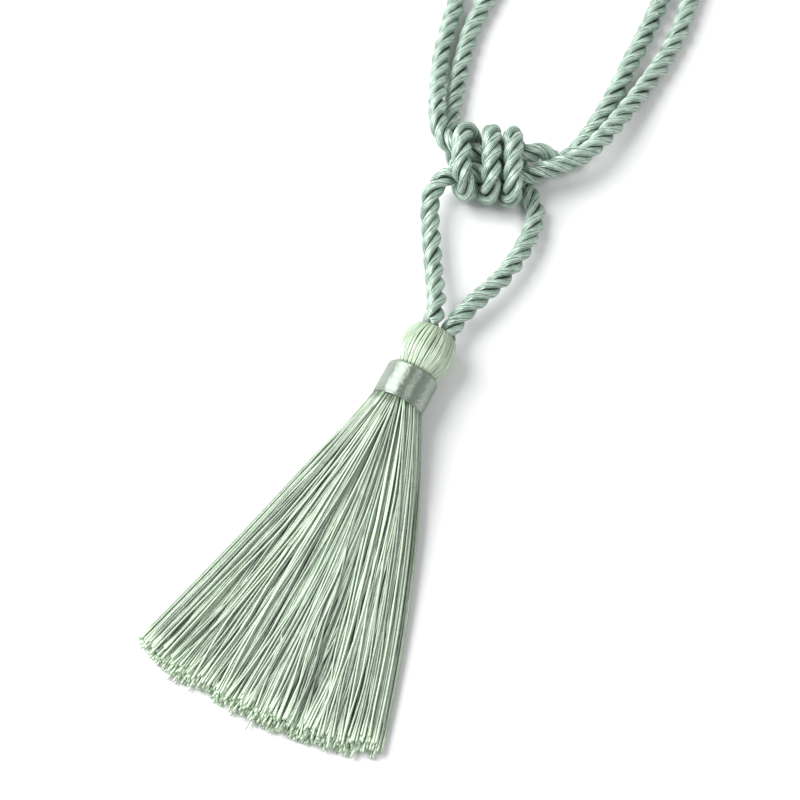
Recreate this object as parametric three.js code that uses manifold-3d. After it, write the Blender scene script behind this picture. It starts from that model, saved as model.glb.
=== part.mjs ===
// Curtain tieback tassel: one twisted rope, knotted round itself, with a tassel on its drop loop.
// Millimetres, +Z up. The tieback lies on the plane z = 0. The origin is the point of that plane
// under the widest part of the tassel's head, and the tie's two arms run towards +Y.
import * as THREE from 'three';
import { mergeVertices } from 'three/addons/utils/BufferGeometryUtils.js';
import Module from 'manifold-3d';

const wasm = await Module();
wasm.setup();

// Rope
const ROPE_RADIUS = 3.85;          // over the crowns of its three plies
const ROPE_VALLEY = 2.4;           // from the axis to the groove between two plies
const PLIES = 3;
const SHOULDER_TURN = radians(22); // each ply's crown spans twice this
const TWIST_PITCH = 20.5;          // length in which a ply goes once round, right-handed
const STEPS_PER_PITCH = 8;
const CURVE_DIVISIONS = 4000;
const TOUCH_BAND = 0.25;           // anything this near the surface is pressed flat on it

// Knot: wraps of the rope round two runs of itself that lie side by side
const KNOT = { x: 25.6, y: 78.1, z: 11.95 };
const KNOT_ALONG = radians(-6.8);  // from +X to the way the wraps follow one another
const KNOT_ACROSS = radians(88.8); // from +X to the way the two core runs lie side by side
const WRAPS = 3;
const WRAP_SPACING = 8.55;
const WRAP_RADIUS = 8.1;           // from a core run's axis to the wrap's axis
const CORE_OFFSET = 4.55;          // of each core run from the knot's middle
const CORE_REACH = 9;              // how far a core run goes straight to each side of it
const WRAP_POINTS = 12;            // in a full turn
const LEAD_POINTS = 1;             // before the first wrap starts up the near side
const LAST_WRAP_POINTS = 9;        // the last wrap ends low on the far side
const LEAD_SHARE = 0.8;            // slope of the lead, as a share of the wraps' slope beneath
const CORNER_RATE = 2;             // how soon a wrap passes from one core run to the other
const FIRST_WRAP_BOW = 3.2;        // the first wrap bulges sideways over the top
const BOW_POWER = 1.5;
const FRONT_ADVANCE = 0.04;        // share of the spacing made over the top of a wrap

// Tassel, in its own frame: +Y towards the top of the head, its axis AXIS_HEIGHT up
const TASSEL_TURN = radians(-27.4);
const AXIS_HEIGHT = 10.6;
const HEAD_SIDES = 32;
const NECK_RADIUS = 8.6;
const COLLAR_TOP = -9.9;
const COLLAR_LENGTH = 13.9;
const COLLAR_RADIUS = 10.3;
const COLLAR_EDGE = 0.8;           // length of the softly rounded edge at each end
const FIT_GAP = 0.3;
const SHOULDER_RADIUS = 9.8;
const SHOULDER_LENGTH = 1.6;
const HEAD_BALL = [
  { along: -6.6, radius: 9.7 },
  { along: -3.4, radius: 10.7 },
  { along: 0, radius: 10.9 },
  { along: 3.4, radius: 10.5 },
  { along: 6.4, radius: 9.5 },
  { along: 8.6, radius: 8.1 },
  { along: 9.4, radius: 6.8 },
  { along: 9.4, radius: 0 },
];

// Skirt
const ROOT_DEPTH = 1.0;            // how far each lock's root runs into the shoulder
const ROOT_REACH = 9.2;            // radius of the disc that holds the roots
const ROOT_ROWS = 3;               // of a layer, so that roots side by side are apart
const ROOT_ROW = 1.05;             // height between two root rows
const FAN_LEFT = radians(14.8);
const FAN_RIGHT = radians(20.9);
const LEFT_BOW = -2.2;             // the fan's edges swell outwards a little
const RIGHT_BOW = 5.4;
const LENGTH_LEFT = 122.8;
const LENGTH_MIDDLE = 129.8;
const LENGTH_RIGHT = 126.8;
const CLUMPS = 8;                  // the locks lean together in loose clumps
const CLUMP_LEAN = 0.0055;         // as a share of the fan's width
const RAGGED = 3.5;                // a lock ends up to this much short or long
const SETTLE_POWER = 2.2;          // how soon the layers sink together below the collar
const ROW_POWER = 1.5;
const LOCK_HEIGHT = 0.85;          // of a lock's section, in lock widths
const LOCK_STATIONS = [
  { along: 0, width: 0.8 },
  { along: 0.15, width: 0.84 },
  { along: 0.4, width: 0.96 },
  { along: 0.7, width: 1.15 },
  { along: 1, width: 1.25 },
];
const LAYERS = [
  { locks: 34, rootHeight: -6.4, tipHeight: 0, flatFrom: 0.4, clumpShift: 0 },
  { locks: 46, rootHeight: -3.2, tipHeight: 1.6, flatFrom: 1, clumpShift: 0.4 },
  { locks: 50, rootHeight: 0, tipHeight: 3.2, flatFrom: 1, clumpShift: 0.7 },
  { locks: 50, rootHeight: 3.2, tipHeight: 4.8, flatFrom: 1, clumpShift: 0.15 },
  { locks: 40, rootHeight: 6.4, tipHeight: 6.4, flatFrom: 1, clumpShift: 0.55 },
];

const ROPE_COLOUR = 0x7f9a8f;
const TASSEL_COLOUR = 0xa3b8a8;
const COLLAR_COLOUR = 0x9bb2a4;

function radians(degrees) {
  return degrees * Math.PI / 180;
}

function mix(a, b, t) {
  return a + (b - a) * t;
}

// 0 at both ends and 1 in the middle
function swell(t) {
  return 4 * t * (1 - t);
}

// A repeatable number from 0 to 1 for each whole number: the digits far down a large sine
function scatter(index) {
  const wave = Math.sin(index * 12.9898 + 4.1414) * 43758.5453;
  return wave - Math.floor(wave);
}

function yarn(colour) {
  return new THREE.MeshStandardMaterial({ color: colour, roughness: 0.45, metalness: 0 });
}

// A closed tube through rings that hold the same number of points
function loft(rings) {
  const sides = rings[0].length;
  const last = (rings.length - 1) * sides;
  const positions = rings.flat().flatMap((p) => [p.x, p.y, p.z]);
  const indices = [];
  for (let ring = 0; ring < rings.length - 1; ring += 1) {
    for (let side = 0; side < sides; side += 1) {
      const a = ring * sides + side;
      const b = ring * sides + (side + 1) % sides;
      indices.push(a, b, b + sides, a, b + sides, a + sides);
    }
  }
  for (let side = 1; side < sides - 1; side += 1) {
    indices.push(0, side + 1, side);
    indices.push(last, last + side, last + side + 1);
  }
  const geometry = new THREE.BufferGeometry();
  geometry.setAttribute('position', new THREE.Float32BufferAttribute(positions, 3));
  geometry.setIndex(indices);
  geometry.computeVertexNormals();
  return geometry;
}

function toSolid(geometry) {
  const bare = geometry.clone();
  bare.deleteAttribute('normal');
  bare.deleteAttribute('uv');
  const merged = mergeVertices(bare, 1e-4);
  const mesh = new wasm.Mesh({
    numProp: 3,
    vertProperties: new Float32Array(merged.attributes.position.array),
    triVerts: new Uint32Array(merged.index.array),
  });
  return new wasm.Manifold(mesh);
}

function toGeometry(solid) {
  const mesh = solid.getMesh();
  const geometry = new THREE.BufferGeometry();
  geometry.setAttribute('position', new THREE.BufferAttribute(mesh.vertProperties, 3));
  geometry.setIndex(new THREE.BufferAttribute(mesh.triVerts, 1));
  geometry.computeVertexNormals();
  return geometry;
}

function restFlat(point) {
  if (point.z < TOUCH_BAND) {
    point.z = 0;
  }
  return point;
}

// A place in the knot: along it, across it, and a height
function knotPoint(along, across, height) {
  const x = KNOT.x + Math.cos(KNOT_ALONG) * along + Math.cos(KNOT_ACROSS) * across;
  const y = KNOT.y + Math.sin(KNOT_ALONG) * along + Math.sin(KNOT_ACROSS) * across;
  return [x, y, height];
}

// The wraps go up on the near side, over the top, down on the far side and back underneath
function wrapPoints() {
  const points = [];
  for (let wrap = 0; wrap < WRAPS; wrap += 1) {
    const start = wrap === 0 ? -LEAD_POINTS : 0;
    const end = wrap === WRAPS - 1 ? LAST_WRAP_POINTS : WRAP_POINTS;
    for (let index = start; index < end; index += 1) {
      const halfTurns = 2 * index / WRAP_POINTS;
      const angle = Math.PI * halfTurns;
      const lead = LEAD_SHARE * Math.min(0, halfTurns);
      const over = Math.min(1, Math.max(0, halfTurns));
      const under = Math.max(0, halfTurns - 1);
      const advance = lead + FRONT_ADVANCE * over + (1 - FRONT_ADVANCE) * under;
      const bow = wrap === 0 ? FIRST_WRAP_BOW * Math.max(0, Math.sin(angle)) ** BOW_POWER : 0;
      const along = (wrap - 1 + advance) * WRAP_SPACING - bow;
      const corner = Math.max(-1, Math.min(1, CORNER_RATE * Math.cos(angle)));
      const across = -corner * CORE_OFFSET - WRAP_RADIUS * Math.cos(angle);
      points.push(knotPoint(along, across, KNOT.z + WRAP_RADIUS * Math.sin(angle)));
    }
  }
  return points;
}

// A straight run through the wraps, on the near side (-1) or the far side (1)
function coreRun(side, way) {
  return [-CORE_REACH * way, 0, CORE_REACH * way].map((along) => (
    knotPoint(along, side * CORE_OFFSET, KNOT.z)));
}

// The rope's axis from the head of the tassel back to the head of the tassel
function ropeRoute() {
  const leftLeg = [
    [1.9, 10.5, 12.3], [3.3, 14.2, 12.1], [4.2, 20, 10.8], [3.9, 27, 9.2], [3.3, 35, 8],
    [2.8, 43, 7.4], [2.4, 51, 7.5], [2, 59, 8.6], [2.9, 66.6, 10.2], [8, 72.7, 11.6],
  ];
  const rightArmOut = [
    [40.6, 73.4, 11.6], [46, 75.1, 12.1], [51.5, 77, 12.2], [58.2, 79.9, 12.1], [64.2, 84.2, 11.7],
    [69.7, 90.2, 10.4], [74.8, 96.9, 9], [79.6, 103.6, 7.7], [84.2, 110.1, 6.4], [88.7, 116.7, 5.3],
    [93, 123.2, 4.6], [97, 129.8, 4.1], [100.6, 136.4, 3.85], [103.9, 143.2, 3.85],
  ];
  const rightEye = [
    [108.2, 156.2, 3.85], [113.5, 170, 3.85], [120, 183, 3.85], [128, 195, 3.85], [133.5, 206, 3.85],
    [131.5, 217, 3.85], [122, 222.5, 3.85], [112, 217.5, 3.85], [107, 206.5, 3.85],
    [105.4, 194, 3.85], [104, 182, 3.85], [101, 169, 3.85], [96.4, 156.2, 3.85],
  ];
  const rightArmBack = [
    [90.3, 142.4, 3.85], [83.8, 129.5, 3.85], [78.1, 117.3, 3.85], [72.6, 107, 3.85],
    [67.5, 98.3, 3.85], [62.4, 90.8, 3.85], [57.8, 85.6, 3.85], [53.8, 83.6, 4.3], [50.3, 83.2, 6],
    [47.2, 84, 8.8], [44, 83.8, 11.2], [40, 82.5, 12.1],
  ];
  const leftArmOut = [
    [8.6, 88.4, 11.6], [5.7, 95.4, 11.2], [5.2, 103.8, 10.1], [5.3, 111.5, 8.3], [6.1, 121.1, 6],
    [7.3, 131.4, 4.6], [9.6, 141.7, 3.9],
  ];
  const leftEye = [
    [13.4, 156.2, 3.85], [16, 169.5, 3.85], [17.2, 183, 3.85], [17.5, 196, 3.85], [21.5, 207, 3.85],
    [31.5, 211.5, 3.85], [40.5, 206, 3.85], [42, 194.5, 3.85], [37.5, 183, 3.85], [31, 169, 3.85],
    [25.5, 156.2, 3.85],
  ];
  const leftArmBack = [
    [19.6, 143.5, 3.85], [15.8, 129.5, 3.85], [13, 116.9, 3.85], [11.2, 107.4, 3.85],
    [10.6, 100.8, 3.85], [11, 94.1, 3.85], [11.8, 87.1, 3.85], [13, 79.6, 3.85], [14.2, 72.5, 4.1],
  ];
  const underKnot = [[38.8, 76.5, 3.85], [41.2, 68.8, 3.85]];
  const rightLeg = [
    [43.2, 61, 4.6], [41.9, 53.6, 5.6], [39.1, 46.9, 6.4], [35.1, 39.8, 7], [30.4, 33, 7.6],
    [24.6, 26.8, 8.4], [18.4, 20.8, 8.9], [13, 15, 8.9], [9.9, 10.5, 8.8], [8.3, 7.2, 8.7],
  ];
  return [
    ...leftLeg, ...coreRun(-1, 1), ...rightArmOut, ...rightEye, ...rightArmBack, ...coreRun(1, -1),
    ...leftArmOut, ...leftEye, ...leftArmBack, ...wrapPoints(), ...underKnot, ...rightLeg,
  ];
}

// One ply's share of the rope's outline: a groove and the two shoulders of its crown
function ropeOutline() {
  const outline = [];
  for (let ply = 0; ply < PLIES; ply += 1) {
    const middle = ply * 2 * Math.PI / PLIES;
    outline.push({ angle: middle - Math.PI / PLIES, radius: ROPE_VALLEY });
    outline.push({ angle: middle - SHOULDER_TURN, radius: ROPE_RADIUS });
    outline.push({ angle: middle + SHOULDER_TURN, radius: ROPE_RADIUS });
  }
  return outline;
}

// The outline is carried along the route without spinning, and the twist is added to it
function makeRope() {
  const route = ropeRoute().map(([x, y, z]) => new THREE.Vector3(x, y, z));
  const curve = new THREE.CatmullRomCurve3(route, false, 'centripetal');
  curve.arcLengthDivisions = CURVE_DIVISIONS;
  const length = curve.getLength();
  const steps = Math.round(length / TWIST_PITCH * STEPS_PER_PITCH);
  const outline = ropeOutline();
  const rings = [];
  const normal = new THREE.Vector3(0, 0, 1);
  for (let step = 0; step <= steps; step += 1) {
    const centre = curve.getPointAt(step / steps);
    const tangent = curve.getTangentAt(step / steps);
    normal.addScaledVector(tangent, -normal.dot(tangent)).normalize();
    const binormal = tangent.clone().cross(normal);
    const twist = 2 * Math.PI * length * step / steps / TWIST_PITCH;
    const ring = outline.map(({ angle, radius }) => centre.clone()
      .addScaledVector(normal, radius * Math.cos(angle + twist))
      .addScaledVector(binormal, radius * Math.sin(angle + twist)));
    rings.push(ring.map(restFlat));
  }
  const rope = new THREE.Mesh(loft(rings), yarn(ROPE_COLOUR));
  rope.name = 'rope';
  return rope;
}

// A solid turned about the tassel's axis from a profile of distance along it and radius
function turned(profile, sides) {
  const points = profile.map(({ along, radius }) => new THREE.Vector2(radius, along));
  const geometry = new THREE.LatheGeometry(points, sides);
  geometry.translate(0, 0, AXIS_HEIGHT);
  const position = geometry.attributes.position;
  const point = new THREE.Vector3();
  for (let index = 0; index < position.count; index += 1) {
    point.fromBufferAttribute(position, index);
    restFlat(point);
    position.setXYZ(index, point.x, point.y, point.z);
  }
  return geometry;
}

// The head's ball of threads, the neck through the collar and the shoulder that roots the skirt
function headProfile() {
  const collarEnd = COLLAR_TOP - COLLAR_LENGTH - FIT_GAP;
  return [
    { along: collarEnd - SHOULDER_LENGTH, radius: 0 },
    { along: collarEnd - SHOULDER_LENGTH, radius: SHOULDER_RADIUS },
    { along: collarEnd, radius: SHOULDER_RADIUS },
    { along: collarEnd, radius: NECK_RADIUS },
    { along: COLLAR_TOP + FIT_GAP, radius: NECK_RADIUS },
    ...HEAD_BALL,
  ];
}

// One lock of the skirt: share 0 is the fan's left edge and 1 its right edge
function lockRings(layer, lock, seed) {
  const share = (lock + 0.5) / layer.locks;
  const lean = CLUMP_LEAN * Math.sin(2 * Math.PI * (CLUMPS * share + layer.clumpShift));
  const reach = Math.sqrt(ROOT_REACH ** 2 - (Math.abs(layer.rootHeight) + ROOT_ROW) ** 2);
  const rootX = mix(-reach, reach, share);
  const rootY = COLLAR_TOP - COLLAR_LENGTH - FIT_GAP - SHOULDER_LENGTH + ROOT_DEPTH;
  const row = (lock % ROOT_ROWS - (ROOT_ROWS - 1) / 2) * ROOT_ROW;
  const heading = mix(-FAN_LEFT, FAN_RIGHT, share + lean);
  const ends = mix(LENGTH_LEFT, LENGTH_RIGHT, share);
  const middle = LENGTH_MIDDLE - (LENGTH_LEFT + LENGTH_RIGHT) / 2;
  const length = ends + middle * swell(share) + RAGGED * (2 * scatter(seed) - 1);
  const bow = mix(LEFT_BOW, RIGHT_BOW, share);
  return LOCK_STATIONS.map(({ along, width }) => {
    const sideways = bow * swell(along);
    const x = rootX + Math.sin(heading) * length * along + Math.cos(heading) * sideways;
    const y = rootY - Math.cos(heading) * length * along + Math.sin(heading) * sideways;
    const left = Math.max(0, 1 - along / layer.flatFrom);
    const settle = left ** SETTLE_POWER;
    const base = mix(layer.tipHeight, AXIS_HEIGHT + layer.rootHeight - width / 2, settle);
    const z = base + row * left ** ROW_POWER;
    const across = new THREE.Vector3(Math.cos(heading), Math.sin(heading), 0);
    const foot = new THREE.Vector3(x, y, Math.max(0, z));
    return [
      foot.clone().addScaledVector(across, -width / 2),
      foot.clone().addScaledVector(across, width / 2),
      foot.clone().add(new THREE.Vector3(0, 0, width * LOCK_HEIGHT)),
    ];
  });
}

function makeTassel() {
  const solids = [toSolid(turned(headProfile(), HEAD_SIDES))];
  let seed = 0;
  for (const layer of LAYERS) {
    for (let lock = 0; lock < layer.locks; lock += 1) {
      seed += 1;
      solids.push(toSolid(loft(lockRings(layer, lock, seed))));
    }
  }
  const tassel = new THREE.Mesh(toGeometry(wasm.Manifold.union(solids)), yarn(TASSEL_COLOUR));
  tassel.name = 'tassel';
  tassel.rotation.z = TASSEL_TURN;
  return tassel;
}

// The thread binding round the neck: a short tube with softly rounded edges
function makeCollar() {
  const inner = NECK_RADIUS + FIT_GAP;
  const end = COLLAR_TOP - COLLAR_LENGTH;
  const profile = [
    { along: end, radius: inner },
    { along: end, radius: COLLAR_RADIUS - COLLAR_EDGE / 2 },
    { along: end + COLLAR_EDGE, radius: COLLAR_RADIUS },
    { along: COLLAR_TOP - COLLAR_EDGE, radius: COLLAR_RADIUS },
    { along: COLLAR_TOP, radius: COLLAR_RADIUS - COLLAR_EDGE / 2 },
    { along: COLLAR_TOP, radius: inner },
    { along: end, radius: inner },
  ];
  const collar = new THREE.Mesh(turned(profile, HEAD_SIDES), yarn(COLLAR_COLOUR));
  collar.name = 'collar';
  collar.rotation.z = TASSEL_TURN;
  return collar;
}

const tieback = new THREE.Group();
tieback.add(makeRope(), makeTassel(), makeCollar());

export default tieback;
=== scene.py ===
import math

import bpy
import numpy as np
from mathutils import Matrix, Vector


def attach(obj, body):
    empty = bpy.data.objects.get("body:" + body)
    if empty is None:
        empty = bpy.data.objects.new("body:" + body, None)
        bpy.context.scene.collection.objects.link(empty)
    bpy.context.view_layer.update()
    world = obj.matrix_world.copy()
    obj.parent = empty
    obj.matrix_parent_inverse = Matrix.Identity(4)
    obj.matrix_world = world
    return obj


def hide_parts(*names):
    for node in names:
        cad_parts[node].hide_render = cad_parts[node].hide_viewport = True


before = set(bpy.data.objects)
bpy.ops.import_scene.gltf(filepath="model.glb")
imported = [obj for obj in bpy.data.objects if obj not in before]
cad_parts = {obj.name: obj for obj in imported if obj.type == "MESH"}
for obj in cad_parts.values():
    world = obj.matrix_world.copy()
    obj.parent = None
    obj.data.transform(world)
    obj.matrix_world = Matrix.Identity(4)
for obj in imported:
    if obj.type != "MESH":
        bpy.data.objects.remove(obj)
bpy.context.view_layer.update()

MM = 0.001

# Rope, in millimetres
PLIES = 3
PLY_OFFSET = 2.15        # from the rope's axis to a ply's axis
PLY_DEEP = 1.72          # half of a ply's section, away from the rope's axis
PLY_WIDE = 1.66          # and across that
PLY_SIDES = 24
KNOT_SWELL = 0.05        # the rope is squashed a little wider in the knot
SWELL_REACH = 12         # and how far from the knot's middle that fades
FLAT = 3.85              # height of the rope's axis where it lies on the surface
TWIST_PITCH = 20.5       # length in which a ply goes once round, right-handed
LAY_WAVES = [
    # how unevenly the plies turn: reach in radians, length of a radian, change from ply to ply
    (0.10, 9.1, 2.1), (0.07, 4.3, 1.3),
]
SWELL_WAVES = [
    # how unevenly thick they are: reach as a share, length of a radian, change from ply to ply
    (0.025, 3.7, 1.9), (0.02, 1.9, 1.0),
]
ROPE_STEP = 1.0
CURVE_PIECES = 24        # straight pieces between two points of the route

# Knot: wraps of the rope round two runs of itself that lie side by side
KNOT_X, KNOT_Y, KNOT_Z = 25.6, 78.1, 11.95
KNOT_ALONG = math.radians(-6.8)      # heading from wrap to wrap
KNOT_ACROSS = math.radians(88.8)     # heading across the two core runs
WRAPS = 3
WRAP_SPACING = 8.55
WRAP_RADIUS = 8.1
CORE_OFFSET = 4.55       # each core run lies this far to one side of the knot's middle
CORE_REACH = 9           # and reaches this far along it each way
WRAP_POINTS = 12
LEAD_POINTS = 1          # points of the route before the first wrap
LAST_WRAP_POINTS = 9     # the last wrap stops underneath
LEAD_SHARE = 0.8         # how fast the lead moves along the knot, in spacings a half turn
CORNER_RATE = 2          # how sharply a wrap turns at the core runs
FIRST_WRAP_BOW = 3.2     # the first wrap bows back this far on top
BOW_POWER = 1.5
FRONT_ADVANCE = 0.04     # share of the spacing that a wrap gains on top, the rest underneath

# Tassel, in its own frame: +Y towards the top of the head, its axis AXIS_HEIGHT up
TASSEL_TURN = math.radians(-27.4)
AXIS_HEIGHT = 10.6
COLLAR_TOP = -9.9
COLLAR_LENGTH = 13.9
COLLAR_RADIUS = 10.3

# Camera: it looks from the near side, 20 degrees off the vertical
CAMERA_TILT = math.radians(20)
CAMERA_DISTANCE = 0.8
CAMERA_LENS = 94.74
CAMERA_SENSOR = 36
CAMERA_NEAR = 0.01
CAMERA_AIM = Vector((-0.00963, -0.01532, 0))


def mix(a, b, t):
    return a + (b - a) * t


def ripple(along, waves, number):
    """A sum of waves along a ply, shifted for each number so that no two are alike."""
    return sum(reach * np.sin(along / length + change * number)
               for reach, length, change in waves)


# ---------------------------------------------------------------- camera

def make_camera():
    camera = bpy.data.cameras.new("camera")
    camera.lens = CAMERA_LENS
    camera.sensor_width = CAMERA_SENSOR
    camera.clip_start = CAMERA_NEAR
    holder = bpy.data.objects.new("camera", camera)
    bpy.context.scene.collection.objects.link(holder)
    back = Vector((0, -math.sin(CAMERA_TILT), math.cos(CAMERA_TILT)))
    holder.location = CAMERA_AIM + back * CAMERA_DISTANCE
    holder.rotation_euler = (CAMERA_TILT, 0, 0)
    bpy.context.scene.camera = holder


make_camera()


# ---------------------------------------------------------------- the rope's route

def knot_point(along, across, height):
    x = KNOT_X + math.cos(KNOT_ALONG) * along + math.cos(KNOT_ACROSS) * across
    y = KNOT_Y + math.sin(KNOT_ALONG) * along + math.sin(KNOT_ACROSS) * across
    return (x, y, height)


def wrap_points():
    """The wraps go up on the near side, over the top, down on the far side and back underneath."""
    points = []
    for wrap in range(WRAPS):
        start = -LEAD_POINTS if wrap == 0 else 0
        end = LAST_WRAP_POINTS if wrap == WRAPS - 1 else WRAP_POINTS
        for index in range(start, end):
            half_turns = 2 * index / WRAP_POINTS
            angle = math.pi * half_turns
            lead = LEAD_SHARE * min(0, half_turns)
            over = min(1, max(0, half_turns))
            under = max(0, half_turns - 1)
            advance = lead + FRONT_ADVANCE * over + (1 - FRONT_ADVANCE) * under
            bow = FIRST_WRAP_BOW * max(0, math.sin(angle)) ** BOW_POWER if wrap == 0 else 0
            along = (wrap - 1 + advance) * WRAP_SPACING - bow
            corner = max(-1, min(1, CORNER_RATE * math.cos(angle)))
            across = -corner * CORE_OFFSET - WRAP_RADIUS * math.cos(angle)
            points.append(knot_point(along, across, KNOT_Z + WRAP_RADIUS * math.sin(angle)))
    return points


def core_run(side, way):
    """A straight run through the wraps, on the near side (-1) or the far side (1)."""
    reach = CORE_REACH * way
    return [knot_point(along, side * CORE_OFFSET, KNOT_Z) for along in (-reach, 0, reach)]


def rope_route():
    left_leg = [
        (1.9, 10.5, 12.3), (3.3, 14.2, 12.1), (4.2, 20, 10.8), (3.9, 27, 9.2), (3.3, 35, 8),
        (2.8, 43, 7.4), (2.4, 51, 7.5), (2, 59, 8.6), (2.9, 66.6, 10.2), (8, 72.7, 11.6),
    ]
    right_arm_out = [
        (40.6, 73.4, 11.6), (46, 75.1, 12.1), (51.5, 77, 12.2), (58.2, 79.9, 12.1),
        (64.2, 84.2, 11.7), (69.7, 90.2, 10.4), (74.8, 96.9, 9), (79.6, 103.6, 7.7),
        (84.2, 110.1, 6.4), (88.7, 116.7, 5.3), (93, 123.2, 4.6), (97, 129.8, 4.1),
        (100.6, 136.4, FLAT), (103.9, 143.2, FLAT),
    ]
    right_eye = [
        (108.2, 156.2, FLAT), (113.5, 170, FLAT), (120, 183, FLAT), (128, 195, FLAT),
        (133.5, 206, FLAT), (131.5, 217, FLAT), (122, 222.5, FLAT), (112, 217.5, FLAT),
        (107, 206.5, FLAT), (105.4, 194, FLAT), (104, 182, FLAT), (101, 169, FLAT),
        (96.4, 156.2, FLAT),
    ]
    right_arm_back = [
        (90.3, 142.4, FLAT), (83.8, 129.5, FLAT), (78.1, 117.3, FLAT), (72.6, 107, FLAT),
        (67.5, 98.3, FLAT), (62.4, 90.8, FLAT), (57.8, 85.6, FLAT), (53.8, 83.6, 4.3),
        (50.3, 83.2, 6), (47.2, 84, 8.8), (44, 83.8, 11.2), (40, 82.5, 12.1),
    ]
    left_arm_out = [
        (8.6, 88.4, 11.6), (5.7, 95.4, 11.2), (5.2, 103.8, 10.1), (5.3, 111.5, 8.3),
        (6.1, 121.1, 6), (7.3, 131.4, 4.6), (9.6, 141.7, 3.9),
    ]
    left_eye = [
        (13.4, 156.2, FLAT), (16, 169.5, FLAT), (17.2, 183, FLAT), (17.5, 196, FLAT),
        (21.5, 207, FLAT), (31.5, 211.5, FLAT), (40.5, 206, FLAT), (42, 194.5, FLAT),
        (37.5, 183, FLAT), (31, 169, FLAT), (25.5, 156.2, FLAT),
    ]
    left_arm_back = [
        (19.6, 143.5, FLAT), (15.8, 129.5, FLAT), (13, 116.9, FLAT), (11.2, 107.4, FLAT),
        (10.6, 100.8, FLAT), (11, 94.1, FLAT), (11.8, 87.1, FLAT), (13, 79.6, FLAT),
        (14.2, 72.5, 4.1),
    ]
    under_knot = [(38.8, 76.5, FLAT), (41.2, 68.8, FLAT)]
    right_leg = [
        (43.2, 61, 4.6), (41.9, 53.6, 5.6), (39.1, 46.9, 6.4), (35.1, 39.8, 7), (30.4, 33, 7.6),
        (24.6, 26.8, 8.4), (18.4, 20.8, 8.9), (13, 15, 8.9), (9.9, 10.5, 8.8), (8.3, 7.2, 8.7),
    ]
    return np.array([
        *left_leg, *core_run(-1, 1), *right_arm_out, *right_eye, *right_arm_back,
        *core_run(1, -1), *left_arm_out, *left_eye, *left_arm_back, *wrap_points(),
        *under_knot, *right_leg,
    ])


def smooth_line(points):
    """A centripetal Catmull-Rom curve through the points, as a fine line."""
    padded = np.vstack([2 * points[0] - points[1], points, 2 * points[-1] - points[-2]])
    line = []
    for index in range(1, len(padded) - 2):
        p0, p1, p2, p3 = padded[index - 1:index + 3]
        d0 = np.linalg.norm(p1 - p0) ** 0.5
        d1 = np.linalg.norm(p2 - p1) ** 0.5
        d2 = np.linalg.norm(p3 - p2) ** 0.5
        t1 = ((p1 - p0) / d0 - (p2 - p0) / (d0 + d1) + (p2 - p1) / d1) * d1
        t2 = ((p2 - p1) / d1 - (p3 - p1) / (d1 + d2) + (p3 - p2) / d2) * d1
        for piece in range(CURVE_PIECES):
            t = piece / CURVE_PIECES
            square = -3 * p1 + 3 * p2 - 2 * t1 - t2
            cube = 2 * p1 - 2 * p2 + t1 + t2
            line.append(p1 + t1 * t + square * t ** 2 + cube * t ** 3)
    line.append(padded[-2])
    return np.array(line)


def even_steps(line, step):
    """The line cut into equal steps, and the distance along it of each point."""
    gaps = np.linalg.norm(np.diff(line, axis=0), axis=1)
    along = np.concatenate([[0], np.cumsum(gaps)])
    count = int(round(along[-1] / step))
    wanted = np.linspace(0, along[-1], count + 1)
    points = np.stack([np.interp(wanted, along, line[:, axis]) for axis in range(3)], axis=1)
    return points, wanted


def unit(vectors):
    return vectors / np.linalg.norm(vectors, axis=-1, keepdims=True)


def carried_frames(points, first):
    """Two directions square to the line at each point, carried along without spinning."""
    tangents = unit(np.gradient(points, axis=0))
    normals = []
    normal = np.array(first, dtype=float)
    for tangent in tangents:
        normal = unit(normal - tangent * normal.dot(tangent))
        normals.append(normal)
    normals = np.array(normals)
    return tangents, normals, np.cross(tangents, normals)


# ---------------------------------------------------------------- meshes

def tube_faces(rings, sides, first):
    """Quads round a tube of that many rings, and the two end faces."""
    ring = np.arange(rings - 1)[:, None] * sides
    side = np.arange(sides)[None, :]
    following = (side + 1) % sides
    quads = np.stack([ring + side, ring + following, ring + following + sides,
                      ring + side + sides], axis=-1).reshape(-1, 4) + first
    start = list(range(first + sides - 1, first - 1, -1))
    end = list(range(first + (rings - 1) * sides, first + rings * sides))
    return quads.tolist() + [start, end]


class Tubes:
    """Gathers tubes into one mesh, with a lengthwise and a round coordinate and a tone each."""

    def __init__(self):
        self.points = []
        self.faces = []
        self.marks = []
        self.ways = []
        self.count = 0

    def add(self, rings, along, tone):
        """rings is (rings, sides, 3) in millimetres; along and tone are given for each ring."""
        number, sides, _ = rings.shape
        tones = np.broadcast_to(tone, number)
        self.faces += tube_faces(number, sides, self.count)
        self.points.append(rings.reshape(-1, 3))
        turn = np.tile(np.arange(sides) / sides, number)
        marks = np.stack([np.repeat(along, sides), turn, np.repeat(tones, sides)], axis=1)
        self.marks.append(marks)
        way = unit(np.gradient(rings.mean(axis=1), axis=0))
        self.ways.append(np.repeat(way, sides, axis=0))
        self.count += number * sides

    def piece(self, name, material):
        points = np.vstack(self.points) * MM
        points[:, 2] = np.maximum(points[:, 2], 0)
        mesh = bpy.data.meshes.new(name)
        mesh.from_pydata(points.tolist(), [], self.faces)
        marks = np.vstack(self.marks)
        layer = mesh.attributes.new("yarn", "FLOAT_VECTOR", "POINT")
        layer.data.foreach_set("vector", marks.astype(np.float32).ravel())
        way = mesh.attributes.new("way", "FLOAT_VECTOR", "POINT")
        way.data.foreach_set("vector", np.vstack(self.ways).astype(np.float32).ravel())
        mesh.polygons.foreach_set("use_smooth", [True] * len(mesh.polygons))
        mesh.materials.append(material)
        mesh.update()
        piece = bpy.data.objects.new(name, mesh)
        bpy.context.scene.collection.objects.link(piece)
        return piece


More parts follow.
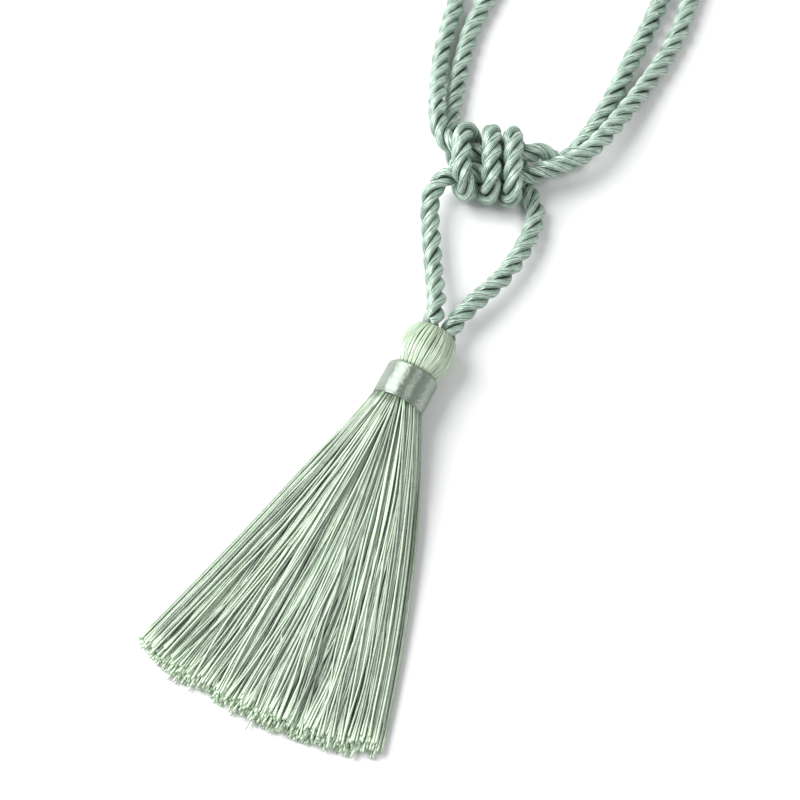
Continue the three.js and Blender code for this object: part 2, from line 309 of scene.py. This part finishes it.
def in_tassel(points):
    """Points of the tassel's own frame, turned to where the tassel lies."""
    c, s = math.cos(TASSEL_TURN), math.sin(TASSEL_TURN)
    turn = np.array([[c, s, 0], [-s, c, 0], [0, 0, 1]])
    return points @ turn


# ---------------------------------------------------------------- materials

class Nodes:
    """A short way to build one material's node tree."""

    def __init__(self, name):
        self.material = bpy.data.materials.new(name)
        self.material.use_nodes = True
        self.tree = self.material.node_tree
        self.shader = self.tree.nodes["Principled BSDF"]

    def node(self, kind, **settings):
        made = self.tree.nodes.new(kind)
        for key, value in settings.items():
            setattr(made, key, value)
        return made

    def link(self, output, socket):
        self.tree.links.new(output, socket)

    def maths(self, operation, *values):
        """A maths node; each value is a number or another node's output."""
        made = self.node("ShaderNodeMath", operation=operation)
        for socket, value in zip(made.inputs, values):
            if isinstance(value, (int, float)):
                socket.default_value = value
            else:
                self.link(value, socket)
        return made.outputs[0]

    def yarn_marks(self):
        """Distance along the yarn in millimetres, turn round it from 0 to 1, and its tone."""
        attribute = self.node("ShaderNodeAttribute", attribute_name="yarn")
        parts = self.node("ShaderNodeSeparateXYZ")
        self.link(attribute.outputs["Vector"], parts.inputs[0])
        return parts.outputs

    def noise(self, scale, detail=2.0):
        """Noise through the object's own space; scale is in cells to the metre."""
        place = self.node("ShaderNodeTexCoord")
        made = self.node("ShaderNodeTexNoise")
        made.inputs["Scale"].default_value = scale
        made.inputs["Detail"].default_value = detail
        self.link(place.outputs["Object"], made.inputs["Vector"])
        return made.outputs["Fac"]

    def noise_along(self, along, scale):
        """Noise along the thread alone, so each turn of a winding differs from the next."""
        made = self.node("ShaderNodeTexNoise", noise_dimensions="1D")
        made.inputs["Scale"].default_value = scale
        self.link(along, made.inputs["W"])
        return made.outputs["Fac"]

    def ramp(self, value, stops):
        made = self.node("ShaderNodeValToRGB")
        while len(made.color_ramp.elements) < len(stops):
            made.color_ramp.elements.new(0.5)
        for element, (place, colour) in zip(made.color_ramp.elements, stops):
            element.position = place
            element.color = (*colour, 1)
        self.link(value, made.inputs[0])
        return made.outputs[0]

    def bump(self, height, strength, distance):
        made = self.node("ShaderNodeBump")
        made.inputs["Strength"].default_value = strength
        made.inputs["Distance"].default_value = distance
        self.link(height, made.inputs["Height"])
        self.link(made.outputs[0], self.shader.inputs["Normal"])


SHEEN_WEIGHT = 0.25
SHEEN_ROUGHNESS = 0.35
SHEEN_TINT = (0.86, 1.0, 0.87, 1)
SHINE_TINT = (0.90, 1.0, 0.91, 1)
SATIN_IOR = 2.0

ROPE_THREADS = 15.0      # threads seen round a ply
ROPE_LAY = 4.6           # millimetres along a ply in which they turn by one thread
ROPE_WANDER = (420.0, 1.2)               # noise that bends them: scale, reach in threads
ROPE_BLOTCH = (260.0, 3.0)               # noise that shades them: scale, detail
ROPE_BLOTCH_SHARE = 0.65                 # its share of the shade; the threads have the rest
ROPE_THREAD_SHARE = 0.35
GROOVE_SHADE_START = 0.06      # painted shade: darker where the cosine of the turn round the ply is below this, in the grooves between plies
CREST_HIGHLIGHT_GAIN = 0.35        # painted highlight: lighter towards the crown by this much of that cosine
CREST_HIGHLIGHT_START = 0.17       # less this
# colours along the shade ramp; its darkest end is reached through the painted groove shade
ROPE_COLOURS = [
    (0.00, (0.006, 0.018, 0.013)),
    (0.26, (0.045, 0.100, 0.073)),
    (0.50, (0.185, 0.300, 0.232)),
    (0.80, (0.560, 0.730, 0.630)),
]

STREAK_SCALE = 420.0     # noise that shades a thread along its length
STREAK_SHARE = 0.35      # its share of the shade; the thread's own tone has the rest
TONE_SHARE = 0.65
DARK_PLACE, LIGHT_PLACE = 0.1, 0.9       # where the two colours lie on the ramp
THREAD_TWIST = 1.1       # length in which a thread's own twist comes round
TWIST_DEPTH = 0.00006    # depth in metres of the bumps that make that twist,
GRAIN_DEPTH = 0.0003     # of those that roughen a winding,
ROPE_DEPTH = 0.00025     # and of those that make the rope's threads


def satin(nodes, roughness, specular, stretch, turned, ior=SATIN_IOR):
    """The shine is stretched along the thread, or square to it when it is turned a quarter."""
    inputs = nodes.shader.inputs
    inputs["Roughness"].default_value = roughness
    inputs["IOR"].default_value = ior
    inputs["Sheen Weight"].default_value = SHEEN_WEIGHT
    inputs["Sheen Roughness"].default_value = SHEEN_ROUGHNESS
    inputs["Sheen Tint"].default_value = SHEEN_TINT
    inputs["Specular Tint"].default_value = SHINE_TINT
    inputs["Specular IOR Level"].default_value = specular
    inputs["Anisotropic"].default_value = stretch
    inputs["Anisotropic Rotation"].default_value = turned
    way = nodes.node("ShaderNodeAttribute", attribute_name="way")
    nodes.link(way.outputs["Vector"], inputs["Tangent"])


def wave(nodes, turns):
    """A wave from 0 to 1 that comes round once a turn."""
    swing = nodes.maths("SINE", nodes.maths("MULTIPLY", turns, 2 * math.pi))
    return nodes.maths("MULTIPLY_ADD", swing, 0.5, 0.5)


def rope_material():
    """Satin threads laid side by side along each ply, with a slow turn round it, painted shade in
    the grooves between plies and a painted highlight on each ply's crown.
    """
    nodes = Nodes("rope_satin")
    along, turn, _ = nodes.yarn_marks()
    round_ply = nodes.maths("MULTIPLY", turn, ROPE_THREADS)
    laid = nodes.maths("ADD", round_ply, nodes.maths("DIVIDE", along, ROPE_LAY))
    wander_scale, wander_reach = ROPE_WANDER
    uneven = nodes.maths("MULTIPLY", nodes.noise(wander_scale), wander_reach)
    thread = wave(nodes, nodes.maths("ADD", laid, uneven))
    shade = nodes.maths("MULTIPLY_ADD", nodes.noise(*ROPE_BLOTCH), ROPE_BLOTCH_SHARE,
                        nodes.maths("MULTIPLY", thread, ROPE_THREAD_SHARE))
    outward = nodes.maths("COSINE", nodes.maths("MULTIPLY", turn, 2 * math.pi))
    # painted shade: the base colour darkens in the grooves between plies
    painted_groove_shade = nodes.maths("SUBTRACT", outward, GROOVE_SHADE_START)
    # painted highlight: the base colour lightens towards each ply's crown
    painted_crest_highlight = nodes.maths("SUBTRACT", nodes.maths("MULTIPLY", outward, CREST_HIGHLIGHT_GAIN), CREST_HIGHLIGHT_START)
    painted_ply_shading = nodes.maths("ADD", shade, nodes.maths("MINIMUM", painted_groove_shade, 0.0))
    painted_ply_shading = nodes.maths("ADD", painted_ply_shading, nodes.maths("MAXIMUM", painted_crest_highlight, 0.0))
    nodes.link(nodes.ramp(painted_ply_shading, ROPE_COLOURS), nodes.shader.inputs["Base Color"])
    satin(nodes, roughness=0.27, specular=1.0, stretch=0.4, turned=0.0)
    nodes.bump(thread, strength=0.8, distance=ROPE_DEPTH)
    return nodes.material


def thread_material(name, dark, light, roughness, specular, strength,
                    ior=SATIN_IOR, grain=0.0):
    """Satin threads, each a little lighter or darker than the next; grain roughens a winding."""
    nodes = Nodes(name)
    along, turn, tone = nodes.yarn_marks()
    shade = nodes.maths("MULTIPLY_ADD", nodes.noise(STREAK_SCALE), STREAK_SHARE,
                        nodes.maths("MULTIPLY", tone, TONE_SHARE))
    colour = nodes.ramp(shade, [(DARK_PLACE, dark), (LIGHT_PLACE, light)])
    nodes.link(colour, nodes.shader.inputs["Base Color"])
    satin(nodes, roughness, specular, stretch=0.7, turned=0.25, ior=ior)
    if grain:
        nodes.bump(nodes.noise_along(along, grain), strength, GRAIN_DEPTH)
    else:
        turns = nodes.maths("ADD", nodes.maths("DIVIDE", along, THREAD_TWIST), turn)
        nodes.bump(wave(nodes, turns), strength, TWIST_DEPTH)
    return nodes.material


# ---------------------------------------------------------------- rope

def make_rope():
    points, along = even_steps(smooth_line(rope_route()), ROPE_STEP)
    tangents, normals, binormals = carried_frames(points, (0, 0, 1))
    from_knot = np.hypot(points[:, 0] - KNOT_X, points[:, 1] - KNOT_Y) / SWELL_REACH
    knot_swell = KNOT_SWELL * np.exp(-from_knot ** 2 / 2)
    tubes = Tubes()
    rounds = 2 * math.pi * np.arange(PLY_SIDES) / PLY_SIDES
    for ply in range(PLIES):
        start = 2 * math.pi * ply / PLIES
        uneven = ripple(along, LAY_WAVES, ply)
        angle = (start + uneven + 2 * math.pi * along / TWIST_PITCH)[:, None]
        outward = normals * np.cos(angle) + binormals * np.sin(angle)
        centres = points + outward * PLY_OFFSET
        ply_tangents = unit(np.gradient(centres, axis=0))
        outward = unit(outward - ply_tangents * np.sum(outward * ply_tangents, axis=1)[:, None])
        sideways = np.cross(ply_tangents, outward)
        swell = 1 + ripple(along, SWELL_WAVES, ply) + knot_swell
        deep = (PLY_DEEP * swell)[:, None, None] * np.cos(rounds)[None, :, None]
        wide = (PLY_WIDE * swell)[:, None, None] * np.sin(rounds)[None, :, None]
        rings = centres[:, None] + outward[:, None] * deep + sideways[:, None] * wide
        tubes.add(rings, along, ply / PLIES)
    rope = tubes.piece("rope_plies", rope_material())
    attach(rope, "root")
    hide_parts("rope")


# ---------------------------------------------------------------- tassel

HEAD_PROFILE = [
    # along the tassel's axis, and the radius there, from the top down to the collar
    (9.6, 2.0), (9.5, 4.5), (9.2, 6.4), (8.4, 8.1), (6.4, 9.5), (3.4, 10.5), (0, 10.9),
    (-3.4, 10.7), (-6.6, 9.8), (-8.8, 8.9), (-9.6, 8.6),
]
HEAD_RINGS = 26
PROFILE_STEP = 0.2       # the profile is cut this fine before its rings are picked
HEAD_ARC = 26            # length of a thread over the head, for its twist
CORE_SIDES = 64
CORE_TONE = 0.3
HEAD_SEED = 5
HEAD_THREADS = 210
HEAD_CORE_DEPTH = 0.28   # how deep the core lies under the head's outline
HEAD_AXIS_DEPTH = 0.14   # and how deep the axes of its threads do
HEAD_THREAD_RADIUS = 0.21
HEAD_THREAD_SIDES = 5
FULL_RADIUS = 9.0        # where the head is narrower than this, its threads are thinner
THINNEST = 0.45          # down to this share
TOP_THIN = (0.4, 0.3)    # they thin again at the top: by how much, over which share of them
TOP_SHADE_REACH = 0.32          # and are darkened there with painted shade, over this share of their length
TOP_SHADE_DEPTH = (0.25, 1)   # by some share between these
HEAD_TONE = (0.45, 1)
HEAD_JITTER = 0.35       # unevenness of their spacing, as a share of it
HEAD_DRIFT = 0.035       # radians that a thread drifts round the head on its way down
HEAD_LIFT = (-0.1, 0.16)             # a thread is raised by some length between these halfway
HEAD_WAVER = (0.012, 9)  # a slight wave on each: reach in radians, radians over its length


def smooth_profile(profile, count):
    """A profile's places along the axis and its radii, at that many even steps."""
    table = np.array([(radius, along, 0) for along, radius in profile], dtype=float)
    steps, _ = even_steps(smooth_line(table), PROFILE_STEP)
    pick = np.linspace(0, len(steps) - 1, count).astype(int)
    return steps[pick, 1], steps[pick, 0]


def make_solid_of_turn(name, along, radius, material):
    """A closed solid of turn about the tassel's axis."""
    rounds = 2 * math.pi * np.arange(CORE_SIDES) / CORE_SIDES
    x = radius[:, None] * np.cos(rounds)
    z = AXIS_HEIGHT + radius[:, None] * np.sin(rounds)
    y = np.repeat(along[:, None], CORE_SIDES, axis=1)
    rings = in_tassel(np.stack([x, y, z], axis=-1))
    tubes = Tubes()
    tubes.add(rings, along, CORE_TONE)
    return tubes.piece(name, material)


NEVER_ZERO = 1e-9        # keeps a direction from vanishing where a thread points straight up


def thin_tube(line, radius, sides):
    """A round tube along a line; the line may be one of many in a batch (lines, points, 3)."""
    tangents = unit(np.gradient(line, axis=-2))
    up = np.zeros_like(tangents)
    up[..., 2] = 1
    across = unit(np.cross(tangents, up) + NEVER_ZERO)
    rise = np.cross(across, tangents)
    rounds = 2 * math.pi * (np.arange(sides) + 0.5) / sides
    spread = np.asarray(radius)[..., None, None]
    ring = (across[..., None, :] * np.cos(rounds)[:, None]
            + rise[..., None, :] * np.sin(rounds)[:, None])
    return line[..., None, :] + ring * spread


def make_head(material, core_material):
    along, radius = smooth_profile(HEAD_PROFILE, HEAD_RINGS)
    core = make_solid_of_turn("head_core", along, radius - HEAD_CORE_DEPTH, core_material)
    share = np.linspace(0, 1, len(along))
    thin_by, thin_over = TOP_THIN
    thinner = 1 - thin_by * np.exp(-(share / thin_over) ** 2)
    size = HEAD_THREAD_RADIUS * np.clip(radius / FULL_RADIUS, THINNEST, 1) * thinner
    waver, waver_rate = HEAD_WAVER
    rng = np.random.default_rng(HEAD_SEED)
    tubes = Tubes()
    for number in range(HEAD_THREADS):
        place = number + HEAD_JITTER * rng.uniform(-1, 1)
        turn = 2 * math.pi * place / HEAD_THREADS
        top_shade = rng.uniform(*TOP_SHADE_DEPTH)
        drift = rng.normal(0, HEAD_DRIFT)
        lift = rng.uniform(*HEAD_LIFT)
        angle = turn + drift * share + waver * np.sin(waver_rate * share + number)
        reach = radius - HEAD_AXIS_DEPTH + lift * np.sin(math.pi * share)
        x = reach * np.cos(angle)
        z = AXIS_HEIGHT + reach * np.sin(angle)
        line = in_tassel(np.stack([x, along, z], axis=-1))
        # painted shade: threads darker near the top, where they gather under the rope's entry
        tone = rng.uniform(*HEAD_TONE) * (1 - top_shade * np.exp(-(share / TOP_SHADE_REACH) ** 3))
        tubes.add(thin_tube(line, size, HEAD_THREAD_SIDES), (1 - share) * HEAD_ARC, tone)
    head = tubes.piece("head_threads", material)
    return [core, head]


# Collar
CORE_ENDS = 0.1          # the core stops this far short of the collar's ends
CORE_CHAMFER = 0.3       # its chamfers end this far in, and between them it lies this deep
CORE_END_DEPTH = 0.9     # depth of its ends
COLLAR_PITCH = 0.34
COLLAR_STEPS = 72        # steps in a turn of the winding
COLLAR_SIDES = 6
COLLAR_THREAD = (0.09, 0.22)     # half of its section, away from the axis and along it
COLLAR_TONE = 0.5
COLLAR_DEPTH = 0.12      # how deep the winding's middle lies under the collar's outline
COLLAR_SINK = 0.45       # and how much deeper its ends run
COLLAR_SINK_TURNS = 2.5  # over this many turns
COLLAR_RISE = (0.02, 0.61)       # unevenness out from the axis: reach, waves to a turn
COLLAR_WANDER = [
    # and along it: reach, waves to a turn, start of the wave
    (0.05, 0.37, 0), (0.04, 1.13, 2),
]


def make_collar(material, core_material):
    top = COLLAR_TOP
    end = COLLAR_TOP - COLLAR_LENGTH
    body = np.array([end + CORE_ENDS, end + CORE_CHAMFER, top - CORE_CHAMFER, top - CORE_ENDS])
    depth = np.array([CORE_END_DEPTH, CORE_CHAMFER, CORE_CHAMFER, CORE_END_DEPTH])
    core = make_solid_of_turn("collar_core", body, COLLAR_RADIUS - depth, core_material)
    turns = (COLLAR_LENGTH - COLLAR_PITCH) / COLLAR_PITCH
    steps = int(turns * COLLAR_STEPS)
    share = np.linspace(0, 1, steps)
    angle = 2 * math.pi * turns * share
    wander = sum(reach * np.sin(angle * waves + start) for reach, waves, start in COLLAR_WANDER)
    rise, rise_waves = COLLAR_RISE
    reach = COLLAR_RADIUS - COLLAR_DEPTH + rise * np.sin(angle * rise_waves)
    edge = np.clip(np.minimum(share, 1 - share) * turns / COLLAR_SINK_TURNS, 0, 1)
    reach = reach - COLLAR_SINK * (1 - edge) ** 2
    x = reach * np.cos(angle)
    y = mix(end + COLLAR_PITCH / 2, top - COLLAR_PITCH / 2, share) + wander
    z = AXIS_HEIGHT + reach * np.sin(angle)
    line = np.stack([x, y, z], axis=-1)
    outward = np.stack([np.cos(angle), np.zeros(steps), np.sin(angle)], axis=-1)
    tangents = unit(np.gradient(line, axis=0))
    sideways = np.cross(tangents, outward)
    rounds = 2 * math.pi * np.arange(COLLAR_SIDES) / COLLAR_SIDES
    deep, wide = COLLAR_THREAD
    ring = (outward[:, None] * np.cos(rounds)[:, None] * deep
            + sideways[:, None] * np.sin(rounds)[:, None] * wide)
    tubes = Tubes()
    tubes.add(in_tassel(line[:, None] + ring), angle * COLLAR_RADIUS, COLLAR_TONE)
    winding = tubes.piece("collar_winding", material)
    return [core, winding]


# Skirt: the fan's outline
FAN_LEFT = math.radians(15.3)
FAN_RIGHT = math.radians(20.9)
LEFT_BOW = 0.2           # how far its edges bow to the right at half length
RIGHT_BOW = 3.4
LENGTH_LEFT = 122.8
LENGTH_MIDDLE = 128.4
LENGTH_RIGHT = 126.8
LEFT_CORNER = (4.5, 0.09, 0.12)      # longer near the left edge: by how much, where, width
FAN_WIDTH = 60           # width at the tips, within which a thread may wander
EDGE_SPARE = (0.1, 1.0)  # and past the fan's edge by some length between these
ROOT_RADIUS = 9.5
ROOT_FULLNESS = 1.02     # keeps the chord from vanishing at the topmost and lowest roots
ROOT_DEPTH = 1.5         # how far up in the collar the threads start
TIP_THICKNESS = 6.4      # of the fan's pile at its tips
TIP_THINNING = 0.75      # how much of that thickness goes towards the fan's edges
SETTLE_POWER = 2.2       # how soon the threads come down to lie on the surface

# Its threads
SKIRT_SEED = 11
THREADS = 1050
THREAD_RADIUS = 0.41
SKIRT_THREAD_SIDES = 6
STATIONS = 25            # rings along a thread
LAST_STATIONS = (0.986, 0.996, 1)    # the last three are close, to round a thread's end
END_SHAPE = (1.08, 1.2, 0.75)        # how the cut end spreads and then rounds off there
ROOT_THINNING = 0.8      # a thread leaves the collar at this share of its thickness
ROOT_THIN_RATE = 4       # and is full at one part in this of its length
LIT_END_START, LIT_END_LENGTH = 0.95, 0.04   # painted light: where its tone turns to the lightest, that of its cut end
LIT_END_TONE = 1.0
LOWEST_SHADE_TONE = 0.1        # painted shade: the lowest threads, under the others, are darker, down to this share
RAGGED = 1.0             # unevenness of the threads' lengths
RAGGED_LOCKS = 0.8       # and of the locks'
UPPER_SHORTER = (3.5, 0.3)           # upper threads are shorter: by how much, from which rank
LONG_SHARE = 0.025       # a few threads are longer
LONG_REACH = (1, 4)

# How they lie
LAYERS = 6               # the threads lie in loose locks, in this many layers
LOCKS = 24               # in each layer
LOCK_MARGIN = 0.01       # a lock's middle stays this share of the fan inside its edges
LOCK_GATHER = 0.5        # how much a lock narrows on its way down
GATHER_SPREAD = (0.4, 1.3)           # times some share between these
GATHER_POWERS = (0.8, 0.9)           # what shapes that: powers of the place and of its sine
SHARE_DRIFT = 0.006      # how far threads drift across the fan, as a share of it
CLUMP_WAVES = [
    # waves across the fan, waves along it, reach, shift in radians from the lowest to the highest
    (3.2, 0.6, 0.9, 2.8), (7.3, -0.8, 0.6, 7.6),
]
CLUMP_POWER = 0.8        # these grow from root to tip with this power of the place
LOCK_LEAN = 1.8          # how far a lock leans aside at its tip
LEAN_POWER = 1.1
LOCK_BEND = 0.55         # reach of its bends
LOCK_BEND_WAVES = (0.8, 1.7)
BEND_POWER = 0.7
WAVER = 0.28             # reach of a thread's own waves, and their counts along it
WAVER_WAVES = (1.3, 2.3, 3.3)
WAVER_SHIFTS = (2, 3)    # shift in radians from one to the next, and for a turn of the root
CROSSING = (0.15, 0.5)   # share of threads that cross others: of the lowest, and how it grows
CROSSING_REACH = 9.0
CROSSING_LIFT = 0.4
STRAY_REACH = 1.7
STRAY_POWER = 1.5
PARTING = (0.50, 0.38, 0.80, 1.5)    # a parting in the upper layers: share, start, middle, width
PARTING_EDGE = 0.045     # how soon it fades to either side, as a share of the fan
PARTING_LAYERS = (3, 1.2)            # how it comes in with rank: slope, less this
LOCK_PILE = 0.3          # unevenness in height of the locks
THREAD_PILE = 0.1        # and of the threads
LOCK_BULGE = 0.35        # a lock's middle lies this much higher than its sides
PILE_RATE = 3            # all of which is full at one part in this of a thread's length


def station_places():
    """Where along a thread its rings lie."""
    rounding = LAST_STATIONS[1:]
    return np.append(np.linspace(0, LAST_STATIONS[0], STATIONS - len(rounding)), rounding)


def skirt_lines(rng):
    """The middle lines of the skirt's threads, (threads, stations, 3), lowest first."""
    radius = ROOT_RADIUS * np.sqrt(rng.uniform(0, 1, THREADS))
    turn = rng.uniform(0, 2 * math.pi, THREADS)
    root_x = radius * np.cos(turn)
    root_height = radius * np.sin(turn)
    order = np.argsort(root_height)
    root_x, root_height = root_x[order], root_height[order]
    half_chord = np.sqrt(ROOT_RADIUS ** 2 * ROOT_FULLNESS - root_height ** 2)
    share_root = (root_x / half_chord + 1) / 2
    rank = np.linspace(0, 1, THREADS)
    along = station_places()[None, :]

    # Locks: each gathers towards its middle on its way down
    layer = np.minimum((rank * LAYERS).astype(int), LAYERS - 1)
    stagger = rng.uniform(0, 1, LAYERS)[layer]
    lock = np.clip((share_root * LOCKS + stagger).astype(int), 0, LOCKS)
    number = layer * (LOCKS + 1) + lock
    locks = LAYERS * (LOCKS + 1)
    middle = np.clip((lock + 0.5 - stagger) / LOCKS, LOCK_MARGIN, 1 - LOCK_MARGIN)
    spread = rng.uniform(*GATHER_SPREAD, locks)[number][:, None]
    place_power, sine_power = GATHER_POWERS
    gather = 1 - LOCK_GATHER * spread * np.sin(math.pi * along ** place_power) ** sine_power
    share = middle[:, None] + (share_root - middle)[:, None] * gather
    share = share + rng.normal(0, SHARE_DRIFT, (THREADS, 1)) * along
    share = np.clip(share, 0, 1)
    share_tip = share[:, -1]

    # Lengths
    heading = mix(-FAN_LEFT, FAN_RIGHT, share)
    ends = mix(LENGTH_LEFT, LENGTH_RIGHT, share_tip)
    swell = (LENGTH_MIDDLE - (LENGTH_LEFT + LENGTH_RIGHT) / 2) * 4 * share_tip * (1 - share_tip)
    longer, corner, corner_width = LEFT_CORNER
    swell = swell + longer * np.exp(-((share_tip - corner) / corner_width) ** 2)
    shorter, shorter_from = UPPER_SHORTER
    ragged = rng.normal(0, RAGGED, THREADS) + rng.normal(0, RAGGED_LOCKS, locks)[number]
    ragged = ragged - shorter * (rank - shorter_from)
    strays = (rng.uniform(0, 1, THREADS) < LONG_SHARE) * rng.uniform(*LONG_REACH, THREADS)
    length = ends + swell + ragged + strays

    # Waves and bends aside, then the threads that cross others
    sideways = np.zeros_like(share)
    for across, lengthwise, reach, turned in CLUMP_WAVES:
        phase = 2 * math.pi * (across * share + lengthwise * along) + turned * rank[:, None]
        sideways = sideways + reach * np.sin(phase) * along ** CLUMP_POWER
    lean = rng.normal(0, LOCK_LEAN, locks)[number][:, None]
    bends = rng.normal(0, LOCK_BEND, (locks, len(LOCK_BEND_WAVES)))[number]
    places = rng.uniform(0, 1, (locks, len(LOCK_BEND_WAVES)))[number]
    sideways = sideways + lean * along ** LEAN_POWER
    for bend, place, waves in zip(bends.T, places.T, LOCK_BEND_WAVES):
        swing = np.sin(2 * math.pi * (waves * along + place[:, None]))
        sideways = sideways + bend[:, None] * swing * along ** BEND_POWER
    wavers = rng.normal(0, WAVER, (THREADS, len(WAVER_WAVES)))
    shift, root_shift = WAVER_SHIFTS
    for index, (waver, waves) in enumerate(zip(wavers.T, WAVER_WAVES)):
        wavy = np.sin(2 * math.pi * waves * along + index * shift + turn[:, None] * root_shift)
        sideways = sideways + waver[:, None] * wavy * along
    lowest, growth = CROSSING
    crossing = rng.uniform(0, 1, THREADS) < lowest + growth * rank
    stray = rng.normal(0, STRAY_REACH, THREADS) + crossing * rng.normal(
        0, CROSSING_REACH, THREADS)
    sideways = sideways + stray[:, None] * along ** STRAY_POWER

    # The parting; then threads are kept within the fan, but for a little to spare
    parted, start, widest, width = PARTING
    away = np.sign(share - parted) * np.exp(-np.abs(share - parted) / PARTING_EDGE)
    lens = np.sin(math.pi * np.clip((along - start) / (2 * (widest - start)), 0, 1))
    slope, less = PARTING_LAYERS
    upper = np.clip(rank[:, None] * slope - less, 0, 1)
    sideways = sideways + away * lens * width * upper
    spare = rng.uniform(*EDGE_SPARE, (THREADS, 1))
    sideways = np.clip(sideways, -FAN_WIDTH * along * share - spare,
                       FAN_WIDTH * along * (1 - share) + spare)
    sideways = sideways + mix(LEFT_BOW, RIGHT_BOW, share) * 4 * along * (1 - along)

    # Places: across and along the fan, then up
    root_y = COLLAR_TOP - COLLAR_LENGTH + ROOT_DEPTH
    distance = length[:, None] * along
    x = root_x[:, None] + np.sin(heading) * distance + np.cos(heading) * sideways
    y = root_y - np.cos(heading) * distance + np.sin(heading) * sideways
    edge = np.sqrt(np.clip(1 - (2 * share_tip - 1) ** 2 * TIP_THINNING, 0, 1))
    pile = rng.normal(0, LOCK_PILE, locks)[number]
    tip_height = THREAD_RADIUS + TIP_THICKNESS * rank * edge
    tip_height = tip_height + rng.normal(0, THREAD_PILE, THREADS) + crossing * CROSSING_LIFT
    settle = (1 - along) ** SETTLE_POWER
    z = mix(tip_height[:, None], AXIS_HEIGHT + root_height[:, None], settle)
    bulge = 1 - ((share_root - middle) * 2 * LOCKS) ** 2
    z = z + (pile + LOCK_BULGE * bulge)[:, None] * np.minimum(1, along * PILE_RATE)
    z = np.maximum(z, THREAD_RADIUS)
    return np.stack([x, y, z], axis=-1), length


def make_skirt(material):
    rng = np.random.default_rng(SKIRT_SEED)
    lines, length = skirt_lines(rng)
    # random tone of each thread, with painted shade darkening the lower ones
    tones = rng.uniform(0, 1, THREADS) * np.linspace(LOWEST_SHADE_TONE, 1, THREADS)
    along = station_places()
    lit_cut_end = np.clip((along - LIT_END_START) / LIT_END_LENGTH, 0, 1)
    taper = THREAD_RADIUS * mix(ROOT_THINNING, 1, np.minimum(1, along * ROOT_THIN_RATE))
    taper[-len(END_SHAPE):] *= END_SHAPE
    rings = in_tassel(thin_tube(lines, np.tile(taper, (THREADS, 1)), SKIRT_THREAD_SIDES))
    pieces = []
    parts = ("skirt_threads_under", "skirt_threads_middle", "skirt_threads_over")
    for part, chosen in zip(parts, np.array_split(np.arange(THREADS), len(parts))):
        tubes = Tubes()
        for number in chosen:
            # painted light on each thread's cut end
            tone = mix(tones[number], LIT_END_TONE, lit_cut_end)
            tubes.add(rings[number], along * length[number], tone)
        pieces.append(tubes.piece(part, material))
    return pieces


make_rope()

tassel_satin = thread_material(
    "tassel_satin", dark=(0.034, 0.060, 0.034), light=(0.540, 0.680, 0.495),
    roughness=0.37, specular=0.65, strength=0.3)
head_satin = thread_material(
    "head_satin", dark=(0.090, 0.140, 0.080), light=(0.680, 0.830, 0.625),
    roughness=0.35, specular=0.7, strength=0.1)
# painted shade: the cores under the head's threads and the collar's winding are dark, standing in
# for the shade in the gaps between threads
shade_core_satin = thread_material(
    "shade_core_satin", dark=(0.030, 0.050, 0.030), light=(0.060, 0.090, 0.055),
    roughness=0.5, specular=0.5, strength=0.0)
collar_satin = thread_material(
    "collar_satin", dark=(0.016, 0.030, 0.014), light=(0.070, 0.105, 0.052),
    roughness=0.26, specular=1.0, strength=0.9, ior=2.6, grain=0.45)

for piece in make_head(head_satin, shade_core_satin) + make_skirt(tassel_satin):
    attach(piece, "root")
    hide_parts("tassel")
for piece in make_collar(collar_satin, shade_core_satin):
    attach(piece, "root")
    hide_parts("collar")


# ---------------------------------------------------------------- stage and lights

FLOOR_REACH = 3.0        # metres each way
FLOOR_COLOUR = (0.86, 0.86, 0.87, 1)
FLOOR_ROUGHNESS = 0.7
LIT_POINT = (0.02, 0.02, 0)
WORLD_COLOUR = (1, 1, 1, 1)
WORLD_STRENGTH = 0.46


def make_floor():
    mesh = bpy.data.meshes.new("floor")
    size = FLOOR_REACH
    corners = [(-size, -size, 0), (size, -size, 0), (size, size, 0), (-size, size, 0)]
    mesh.from_pydata(corners, [], [(0, 1, 2, 3)])
    nodes = Nodes("floor_white")
    nodes.shader.inputs["Base Color"].default_value = FLOOR_COLOUR
    nodes.shader.inputs["Roughness"].default_value = FLOOR_ROUGHNESS
    mesh.materials.append(nodes.material)
    floor = bpy.data.objects.new("floor", mesh)
    bpy.context.scene.collection.objects.link(floor)


def make_light(name, place, size, watts):
    """A white rectangular light that faces the lit point; size is its width and height."""
    light = bpy.data.lights.new(name, "AREA")
    light.shape = "RECTANGLE"
    light.size, light.size_y = size
    light.energy = watts
    holder = bpy.data.objects.new(name, light)
    holder.location = place
    direction = Vector(LIT_POINT) - Vector(place)
    holder.rotation_euler = direction.to_track_quat("-Z", "Y").to_euler()
    bpy.context.scene.collection.objects.link(holder)


def make_lights():
    make_light("key", place=(-0.78, 0.34, 0.80), size=(0.75, 1.15), watts=23)
    make_light("fill", place=(0.45, -0.2, 1.05), size=(0.35, 0.35), watts=2.5)
    world = bpy.data.worlds.new("studio")
    bpy.context.scene.world = world
    world.use_nodes = True
    background = world.node_tree.nodes["Background"]
    background.inputs["Color"].default_value = WORLD_COLOUR
    background.inputs["Strength"].default_value = WORLD_STRENGTH


make_floor()
make_lights()
bpy.context.scene.view_settings.view_transform = "Standard"
